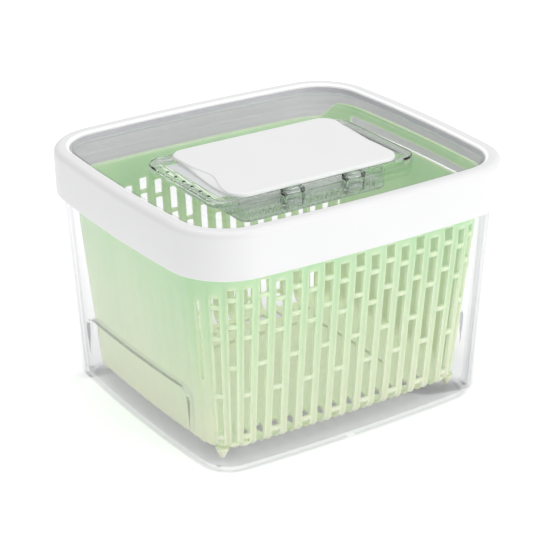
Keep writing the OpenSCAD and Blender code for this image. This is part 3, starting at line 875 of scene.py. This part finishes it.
def make_basket():
    stations = basket_stations()
    count = len(stations)
    runs = []
    index = -1
    last = None
    for region, column, columns, share in stations:
        if (region, columns) != last or (column == 0 and share == 0.0):
            index += 1
            last = (region, columns)
        runs.append(index)

    # (z, inset, kind) of each ring, from the floor's middle out and up
    rings = [(BASKET_FLOOR, inset, "floor") for inset in (34, 30, 24.5, 21.5, 16, 11)]
    for a in (0, 22, 45, 68):
        rise, inset = rounding(BASKET_EDGE, a)
        rings.append((BASKET_FLOOR + rise, inset, "edge"))
    marks = {SLOT_START + 4, 26, 36, 58, 78, 102, BASKET_FLOOR + BASKET_EDGE}
    for family in BRIDGES:
        for b in family:
            marks |= {b - BRIDGE_HALF, b + BRIDGE_HALF}
    marks |= set(SLOT_END)
    rings += [(z, 0.0, "wall") for z in sorted(marks) if z >= BASKET_FLOOR + BASKET_EDGE]
    upper = [PLAIN_FROM, 130, 134, HANDLE_LOW - 0.8, HANDLE_LOW, (HANDLE_LOW + HANDLE_HIGH) / 2]
    upper += [HANDLE_HIGH, HANDLE_HIGH + 0.9]
    upper += [BASKET_TOP - 3, BASKET_TOP - 1.8, BASKET_TOP - 0.5, BASKET_TOP]
    bead = {BASKET_TOP - 3: 0.0, BASKET_TOP - 1.8: 0.7, BASKET_TOP - 0.5: 0.7, BASKET_TOP: 0.5}
    rings += [(z, -bead.get(z, 0.0), "upper") for z in upper]

    def ring_points(z, inset, kind):
        flat = basket_ring(z, inset)
        out = []
        for j, (x, y) in enumerate(flat):
            region, column, columns, share = stations[j]
            px, py = flat[j - 1]
            qx, qy = flat[(j + 1) % count]
            tx, ty = qx - px, qy - py
            norm = math.hypot(tx, ty) or 1.0
            nx, ny = ty / norm, -tx / norm
            amount = 1.7 if region != "short" else 0.4
            if region == "corner":
                amount = (1.6, 1.5, 1.3, 0.9, 0.5)[corner_step(runs[j], column)]
            fade = 0.0 if kind == "floor" else 1 - ease((z - FADE_FROM) / FADE_RUN)
            push = lobe(share, amount) * fade
            scallop = lobe(share, 0.7) * (1 if region != "short" else 0.3)
            height = z
            if kind == "upper":
                rim = rim_height(x)
                height = PLAIN_FROM + (z - PLAIN_FROM) * (rim - PLAIN_FROM) / (BASKET_TOP - PLAIN_FROM)
            if kind == "floor":
                height = z - scallop * ease((26 - inset) / 10)
            if kind == "edge":
                height = z - scallop * (BASKET_FLOOR + BASKET_EDGE - z) / BASKET_EDGE
            out.append((x + nx * push, y + ny * push, height))
        return out

    rows = [ring_points(*r) for r in rings]

    def in_slot(i, j):
        z0, inset0, kind0 = rings[i]
        z1, inset1 = rings[i + 1][:2]
        region, column, columns, share = stations[j]
        middle = share in (STATION_SHARES[2], STATION_SHARES[3])
        z = (z0 + z1) / 2
        if kind0 == "upper" and region in ("short", "corner"):
            y = abs(rows[i][j][1])
            y_next = abs(rows[i][(j + 1) % count][1])
            at_end = abs(rows[i][j][0]) > BASKET_TOP_HALF[0] - 12
            level = HANDLE_LOW - 0.01 < z0 and z1 < HANDLE_HIGH + 0.01
            return at_end and level and max(y, y_next) < HANDLE_HALF + 0.5
        if not middle or region == "short" or kind0 == "upper":
            return False
        family = column % 2
        top = SLOT_END[family]
        if region == "corner":
            step = corner_step(runs[j], column)
            if step > 3:
                return False
            if step == 3:
                return share == STATION_SHARES[2] and 60 < z < 112
            family = 1 - step % 2
            top = SLOT_END[family] - 2 * step
        if kind0 == "floor":
            if region == "corner":
                return False
            return 11 <= inset1 and inset0 <= 24.5 and (inset0, inset1) != (24.5, 21.5)
        if kind0 == "edge" or z < SLOT_START:
            if region == "corner":
                return z > SLOT_START
            return family == 0 or kind0 == "edge"
        if z > top:
            return False
        return all(abs(z - b) > BRIDGE_HALF for b in BRIDGES[family])

    shell = loft("basket_wall", rows, keep=lambda i, j: not in_slot(i, j))
    shell = join("basket_wall", [shell, basket_middle()])
    crease_valleys(shell)
    creases = dict(edge_crease_inner=0.8, edge_crease_outer=0.8, edge_crease_rim=0.8)
    add_modifier(shell, "SOLIDIFY", thickness=BASKET_WALL * MM, offset=-1.0, use_even_offset=False, **creases)
    add_modifier(shell, "SUBSURF", levels=1, render_levels=1)
    apply_modifiers(shell)
    feet = [foot(sx, sy) for sx in (-1, 1) for sy in (-1, 1)]
    basket = join("basket_shell", [shell] + feet)
    smooth(basket, 60)
    place(basket, green_plastic(), "basket", "green_plastic", "basket")


def crease_valleys(shell):
    """Keeps the line between two lobes sharp: the mesh's own folds of more than a few degrees along Z."""
    bm = bmesh.new()
    bm.from_mesh(shell.data)
    layer = bm.edges.layers.float.get("crease_edge") or bm.edges.layers.float.new("crease_edge")
    for edge in bm.edges:
        along = edge.verts[1].co - edge.verts[0].co
        upright = abs(along.z) > 0.9 * along.length
        if upright and len(edge.link_faces) == 2 and edge.calc_face_angle_signed(0.0) < math.radians(-12):
            edge[layer] = 0.8
    bm.to_mesh(shell.data)
    bm.free()


def basket_middle():
    """The plain floor inside the ring of slots, with a few low ribs along it."""
    half_x = BASKET_LOW_HALF[0] - 33.5
    half_y = BASKET_LOW_HALF[1] - 33.5
    across, deep = 24, 60
    verts = []
    for b in range(deep + 1):
        y = -half_y + 2 * half_y * b / deep
        for a in range(across + 1):
            x = -half_x + 2 * half_x * a / across
            verts.append((x, y, BASKET_FLOOR - 0.03 + 0.5 * max(0.0, math.cos(y * 0.62)) ** 6))
    faces = []
    for b in range(deep):
        for a in range(across):
            i = b * (across + 1) + a
            faces.append((i, i + 1, i + across + 2, i + across + 1))
    return new_object("basket_middle", verts, faces)


def foot(sx, sy):
    x = sx * (BASKET_LOW_HALF[0] - BASKET_R[0] * 0.42)
    y = sy * (BASKET_LOW_HALF[1] - BASKET_R[0] * 0.42)
    rings = []
    for rise, r in ((0.02, 1.2), (0.4, 1.7), (2.5, 2.6), (5, 3.7), (BASKET_FLOOR + 1 - BIN_FLOOR, 4.3)):
        rings.append(at_height(circle(x, y, r, 24), BIN_FLOOR + rise))
    return outward(loft("foot", rings, capped=True))


# ------------------------ lid


def make_ring():
    profile = [(RING_DRAFT + 0.5, RING_Z), (RING_DRAFT + 0.15, RING_Z + 0.3), (RING_DRAFT, RING_Z + 0.9)]
    profile += [(0.2, RING_Z + 12), (0.0, TOP - RING_ROUND - 2)]
    for a in range(0, 91, 10):
        inset, drop = rounding(RING_ROUND, a)
        profile.append((inset, TOP - drop))
    profile += [(RING_RIM - 2.2, TOP - 0.15), (RING_RIM - 0.9, TOP - 0.5)]
    profile += [(RING_RIM - 0.25, TOP - 1.1), (RING_RIM, TOP - 1.7)]
    under = TOP - RING_TOP
    profile += [(RING_RIM, under), (RING_WALL + 1.5, under), (RING_WALL + 0.3, under - 0.4)]
    profile += [(RING_WALL, under - 1.2), (RING_WALL, RING_Z + 0.6), (RING_WALL - 0.3, RING_Z)]
    rings = [at_height(ring_outline(t, arc=20), z) for t, z in profile]
    obj = smooth(outward(loft("lid_ring", rings, closed=True)), 60)
    # The ring's faces that look towards the middle get painted light: a faint emission.
    place(obj, white_plastic("ring_white", painted_glow=0.3), "lid", "white_plastic", "lid_frame")


def make_window():
    outer = RING_RIM + 0.01
    inner = RING_RIM + WINDOW_WALL
    hole_w = HOUSING_W - 2 * (HOUSING_WALL + 4)
    hole_d = HOUSING_D - 2 * (HOUSING_WALL + 4)
    hole = outline(hole_w, hole_d, HOUSING_R - 4, bow=0.0, centre=(0, VENT_Y))
    profile = [(outer, PANEL_UNDER + 1.2), (outer, WINDOW_TOP - 0.3), (outer + 0.3, WINDOW_TOP)]
    profile += [(inner - 0.4, WINDOW_TOP), (inner, WINDOW_TOP - 0.4), (inner + 0.15, PANEL_Z + 1.6)]
    profile += [(inner + 0.6, PANEL_Z + 0.5), (inner + 1.6, PANEL_Z), (inner + 8, PANEL_Z)]
    below = [(inner + 8, PANEL_UNDER), (outer + 1.2, PANEL_UNDER), (outer + 0.35, PANEL_UNDER + 0.35)]
    rings = [at_height(ring_outline(t), z) for t, z in profile]
    rings += [at_height(hole, PANEL_Z), at_height(hole, PANEL_UNDER)]
    rings += [at_height(ring_outline(t), z) for t, z in below]
    obj = outward(loft("window", rings, closed=True))
    notch = KNUCKLE_W / 2 + CHEEK + 2 * PLAY
    cutters = []
    for s in (-1, 1):
        low = (s * HINGE_X - notch, HINGE_Y - KNUCKLE_R, PANEL_UNDER - 1)
        high = (s * HINGE_X + notch, HINGE_Y + KNUCKLE_R, PANEL_Z + 1)
        cutters.append(block("notch", low, high))
    cut(obj, cutters)
    smooth(obj, 40)
    place(obj, clear_plastic("window_clear"), "lid", "clear_plastic", "lid_window")


def make_seal():
    lip_out = BIN_INSET + 0.1
    lip_in = lip_out + 1.5
    out = RING_WALL + 1.5
    high = TOP - RING_TOP
    profile = [(out, high - 0.02), (out, SEAL_Z + 0.3), (out + 0.3, SEAL_Z), (lip_out, SEAL_Z)]
    profile += [(lip_out, BIN_TOP + 0.4), (lip_out + 0.4, BIN_TOP + 0.02), (lip_in - 0.4, BIN_TOP + 0.02)]
    profile += [(lip_in, BIN_TOP + 0.4), (lip_in, SEAL_Z), (RING_RIM - 0.4, SEAL_Z)]
    profile += [(RING_RIM - 0.02, SEAL_Z + 0.3), (RING_RIM - 0.02, high - 0.02)]
    rings = [at_height(ring_outline(t), z) for t, z in profile]
    obj = smooth(outward(loft("seal_band", rings, closed=True)), 50)
    place(obj, seal_rubber(), "lid", "grey_silicone", "lid_seal")


# ------------------------ vent


def make_housing():
    shape = dict(bow=0.0, centre=(0, VENT_Y), arc=12)

    def slab(inset, z):
        return at_height(outline(HOUSING_W - 2 * inset, HOUSING_D - 2 * inset, HOUSING_R - inset, **shape), z)

    under = HOUSING_Z - HOUSING_WALL
    rings = [slab(HOUSING_WALL, PANEL_Z + 0.01), slab(0.2, PANEL_Z + 0.01), slab(0, PANEL_Z + 0.3)]
    rings.append(slab(0, HOUSING_Z - HOUSING_ROUND))
    for a in (30, 60, 90):
        inset, drop = rounding(HOUSING_ROUND, a)
        rings.append(slab(inset, HOUSING_Z - drop))
    sunk = HOUSING_Z - 0.35
    rings += [slab(4, HOUSING_Z), slab(5, HOUSING_Z), slab(5.6, sunk), slab(12, sunk)]
    rings += [slab(12, under), slab(HOUSING_WALL, under)]
    obj = loft("housing", rings, closed=True)
    lid = prism("housing_lid", [(x, y) for x, y, z in slab(11.9, 0)], under, sunk)
    outward(obj)
    outward(lid)
    obj = cut(obj, [lid], "UNION")
    cutters = []
    for i in range(VENT_COUNT):
        y = VENT_Y + (i - (VENT_COUNT - 1) / 2) * VENT_PITCH
        spot = (-HOUSING_W / 2 + VENT_INSET, y, HOUSING_Z)
        cutters.append(rod("vent", spot, 2, 6, VENT_HOLE / 2, sides=20))
    for s in (-1, 1):
        y = VENT_Y + s * TAB_Y
        low = (-3.3 - PLATE_TRAVEL, y - 2.8, under - 1)
        cutters.append(block("guide", low, (3.3, y + 2.8, HOUSING_Z + 1)))
    cut(obj, cutters)
    parts = [obj]
    for s in (-1, 1):
        parts += hinge_lug(s * HINGE_X)
    obj = join("housing", parts)
    smooth(obj, 35)
    place(obj, bending_plastic(), "lid", "clear_plastic", "filter_housing")


def hinge_lug(x):
    """Two cheeks, the bridge over them and the pin between them."""
    out = []
    half = KNUCKLE_W / 2 + PLAY
    front = VENT_Y - HOUSING_D / 2
    for s in (-1, 1):
        a = x + s * half
        b = x + s * (half + CHEEK)
        low = (min(a, b), HINGE_Y - 2, HINGE_Z - 2)
        out.append(block("cheek", low, (max(a, b), HINGE_Y + 2, HOUSING_Z - 1.6)))
    low = (x - half - CHEEK, HINGE_Y - 2.05, HOUSING_Z - 3.2)
    out.append(block("bridge", low, (x + half + CHEEK, front + 1.2, HOUSING_Z - 0.1)))
    out = [soften(outward(o), 0.35) for o in out]
    out.append(outward(rod("pin", (x, HINGE_Y, HINGE_Z), 0, KNUCKLE_W + 2 * PLAY + 1, 1.5)))
    return out


def plate_outline(inset, scoop=0.0):
    """The sliding plate's outline: straight front and back, and S-shaped ends that a scoop hollows."""
    corner = PLATE_R - inset
    half_x = PLATE_W / 2 - PLATE_WAVE - inset
    half_y = PLATE_D / 2 - inset
    steps = 28
    edge = half_y - corner
    ys = [-edge + 2 * edge * i / steps for i in range(steps + 1)]

    def wave(y):
        return PLATE_WAVE * math.sin(math.pi / 2 * max(-1.0, min(1.0, y / TAB_Y)))

    def hollow(y, middle):
        return scoop * math.exp(-(((y - middle) / 15) ** 2))

    def bend(cx, cy, start):
        return [polar(cx, cy, corner, start + 10 * i) for i in range(1, 9)]

    points = bend(half_x + wave(-edge) - corner, -edge, -90)
    points += [(half_x + wave(y) - hollow(y, 8), y) for y in ys]
    points += bend(half_x + wave(edge) - corner, edge, 0)
    points += bend(-half_x + wave(edge) + corner, edge, 90)
    points += [(-half_x + wave(y) + hollow(y, -6), y) for y in reversed(ys)]
    points += bend(-half_x + wave(-edge) + corner, -edge, 180)
    return [(x + PLATE_SHIFT, y + VENT_Y) for x, y in points]


def make_plate():
    """The plate's ends are finger scoops: the top edge is hollowed more than the foot."""
    top = PLATE_Z + PLATE_T
    profile = [(3, PLATE_Z, 0), (0.5, PLATE_Z, 0), (0.1, PLATE_Z + 0.15, 0), (0, PLATE_Z + 0.4, 0)]
    profile += [(0.05, PLATE_Z + 0.7, 0.6), (0.15, PLATE_Z + 1.0, 2.6), (0.3, PLATE_Z + 1.35, 4.4)]
    for a in (10, 30, 50, 70, 90):
        inset, drop = rounding(1.0, a)
        profile.append((0.4 + inset, top - 0.75 * drop, 5.6))
    profile += [(4, top, 5.8)]
    rings = [at_height(plate_outline(t, scoop), z) for t, z, scoop in profile]
    parts = [outward(loft("plate", rings, capped=True))]
    for s in (-1, 1):
        y = VENT_Y + s * TAB_Y
        tab = block("tab", (-3, y - 2.5, PLATE_LOW[2] + 0.5), (3, y + 2.5, PLATE_Z + 0.05))
        parts.append(soften(outward(tab), 0.2))
    low = (-SHUTTER_REST, VENT_Y - SHUTTER_HALF, PLATE_LOW[2])
    high = (3, VENT_Y + SHUTTER_HALF, PLATE_LOW[2] + 1)
    parts.append(soften(outward(block("shutter", low, high)), 0.2))
    obj = smooth(join("vent_plate", parts), 40)
    place(obj, white_plastic("plate_white", (0.82, 0.82, 0.82)), "slider", "white_plastic", "vent_slider")


def make_cage():
    arc, long, short = 6, 51, 35
    shape = dict(bow=0.0, arc=arc, centre=(0, CAGE_Y), long_stops=even(long), short_stops=even(short))

    def ring(z, inset):
        corner = 7 - min(inset, 4.5)
        return at_height(outline(CAGE_W - 2 * inset, CAGE_D - 2 * inset, corner, **shape), z)

    profile = [(CAGE_Z, 6.0), (CAGE_Z, 2.0), (CAGE_Z + 0.25, 0.9), (CAGE_Z + 0.9, 0.25)]
    profile += [(CAGE_Z + rise, 0.0) for rise in (2, 3, 8.3, 9.3)]
    profile += [(CAGE_TOP - 0.2, 0.0), (CAGE_TOP, 0.0)]
    rings = [ring(z, inset) for z, inset in profile]
    slotted = 5
    segment = [arc, long, arc, short] * 2
    kinds = [(k, i) for k, n in enumerate(segment) for i in range(n)]

    def keep(i, j):
        k, at = kinds[j]
        if i != slotted or k % 2 == 0:
            return True
        return at % 3 == 2 or at < 2 or at > segment[k] - 3

    wall = loft("cage", rings, keep=keep)
    cage = join("cage", [wall, cage_bottom()])
    add_modifier(cage, "SOLIDIFY", thickness=CAGE_WALL * MM, offset=-1.0)
    apply_modifiers(cage)
    parts = [cage]
    for s in (-1, 1):
        x = s * HINGE_X
        parts.append(outward(rod("knuckle", (x, HINGE_Y, HINGE_Z), 0, KNUCKLE_W, KNUCKLE_R, bore=1.6)))
        high = (x + KNUCKLE_W / 2, -CAGE_D / 2 + CAGE_Y + 1.0, HINGE_Z + 1.5)
        web = block("web", (x - KNUCKLE_W / 2, HINGE_Y + 2.0, HINGE_Z - 1.5), high)
        parts.append(soften(outward(web), 0.3))
    back = CAGE_Y + CAGE_D / 2
    catch = block("catch", (-10, back - 1, CAGE_TOP - 1.6), (10, back + 4, CAGE_TOP))
    parts.append(soften(outward(catch), 0.5, 3))
    obj = smooth(join("cage", parts), 35)
    place(obj, frosted_plastic(), "filter_cage", "cage_plastic", "filter_door")


def cage_bottom():
    """A lattice floor with square holes."""
    border = 2
    bar = 0.9

    def lines(half, count):
        """From -half to half, the two sides of each hole between bars."""
        out = [-half]
        for c in range(count):
            a = -half + border + c * (2 * half - 2 * border) / count
            out += [a + bar, a + (2 * half - 2 * border) / count - bar]
        return out + [half]

    xs = lines(CAGE_W / 2 - 5.5, 24)
    ys = lines(CAGE_D / 2 - 5.5, 16)
    verts = [(x, y + CAGE_Y, CAGE_Z + 0.03) for y in ys for x in xs]
    faces = []
    for b in range(len(ys) - 1):
        for a in range(len(xs) - 1):
            if a % 2 and b % 2:
                continue
            i = b * len(xs) + a
            faces.append((i, i + len(xs), i + len(xs) + 1, i + 1))
    return new_object("cage_bottom", verts, faces)


def make_pouch():
    """A pillow with a flat crimped seam round it."""
    low, high = cad("filter_pouch")
    cx = (low[0] + high[0]) / 2
    cy = (low[1] + high[1]) / 2
    half_x = (high[0] - low[0]) / 2
    half_y = (high[1] - low[1]) / 2
    mid = (low[2] + high[2]) / 2
    thick = (high[2] - low[2]) / 2
    across, deep = 96, 64
    seam = 3.5
    rng = random.Random(7)
    spread = ((-1, 1), (-1, 1), (0.12, 0.3), (-0.16, 0.1))
    dents = [tuple(rng.uniform(*limits) for limits in spread) for _ in range(26)]

    def height(u, v):
        edge = min(half_x * (1 - abs(u)), half_y * (1 - abs(v)))
        if edge < seam:
            crimp = 0.12 * math.sin(edge * 6) + 0.1 * math.sin((u * half_x + v * half_y) * 2.4)
            return 0.35 + 0.25 * crimp
        body = ease((edge - seam) / 13) ** 0.8
        lump = sum(a * math.exp(-((u - du) ** 2 + (v - dv) ** 2) / w**2) for du, dv, w, a in dents)
        return 0.35 + (thick - 0.55) * body * (0.93 + lump * 0.5)

    verts = []
    for side in (1, -1):
        for b in range(deep + 1):
            for a in range(across + 1):
                u = 2 * a / across - 1
                v = 2 * b / deep - 1
                z = min(height(u, v), thick - 0.1)
                verts.append((cx + u * half_x, cy + v * half_y, mid + side * z))
    row = across + 1
    base = row * (deep + 1)
    faces = []
    for b in range(deep):
        for a in range(across):
            i = b * row + a
            faces.append((i, i + 1, i + row + 1, i + row))
            faces.append((base + i, base + i + row, base + i + row + 1, base + i + 1))
    border = [i for i in range(across)] + [across + row * i for i in range(deep)]
    border += [row * deep + across - i for i in range(across)] + [row * (deep - i) for i in range(deep)]
    for k, i in enumerate(border):
        j = border[(k + 1) % len(border)]
        faces.append((i, base + i, base + j, j))
    obj = smooth(outward(new_object("pouch", verts, faces)), 60)
    place(obj, pouch_cloth(), "filter_cage", "pouch_cloth", "filter_pouch")


def make_carbon():
    """Loose granules that fill the pouch."""
    low, high = cad("carbon_fill")
    rng = random.Random(11)
    bm = bmesh.new()
    cx = (low[0] + high[0]) / 2
    cy = (low[1] + high[1]) / 2
    across, deep = 30, 20
    for a in range(across):
        for b in range(deep):
            u = (a + 0.5) / across * 2 - 1
            v = (b + 0.5) / deep * 2 - 1
            x = cx + u * (high[0] - low[0] - 22) / 2 + rng.uniform(-0.6, 0.6)
            y = cy + v * (high[1] - low[1] - 22) / 2 + rng.uniform(-0.6, 0.6)
            z = (low[2] + high[2]) / 2 + rng.uniform(-1.1, 1.1)
            made = bmesh.ops.create_icosphere(bm, subdivisions=1, radius=1.25 * MM)
            turn = Matrix.Rotation(rng.uniform(0, 6.28), 4, (rng.random(), rng.random(), rng.random() + 0.1))
            size = Matrix.Diagonal((rng.uniform(0.8, 1.2), rng.uniform(0.7, 1.1), rng.uniform(0.6, 0.9), 1))
            move = Matrix.Translation((x * MM, y * MM, z * MM))
            bmesh.ops.transform(bm, matrix=move @ turn @ size, verts=made["verts"])
    mesh = bpy.data.meshes.new("carbon")
    bm.to_mesh(mesh)
    bm.free()
    obj = bpy.data.objects.new("carbon", mesh)
    scene.collection.objects.link(obj)
    place(obj, carbon_black(), "filter_cage", "carbon", "carbon_fill")


make_camera()
make_floor()
make_light()
make_bin()
make_basket()
make_ring()
make_window()
make_seal()
make_housing()
make_plate()
make_cage()
make_pouch()
make_carbon()
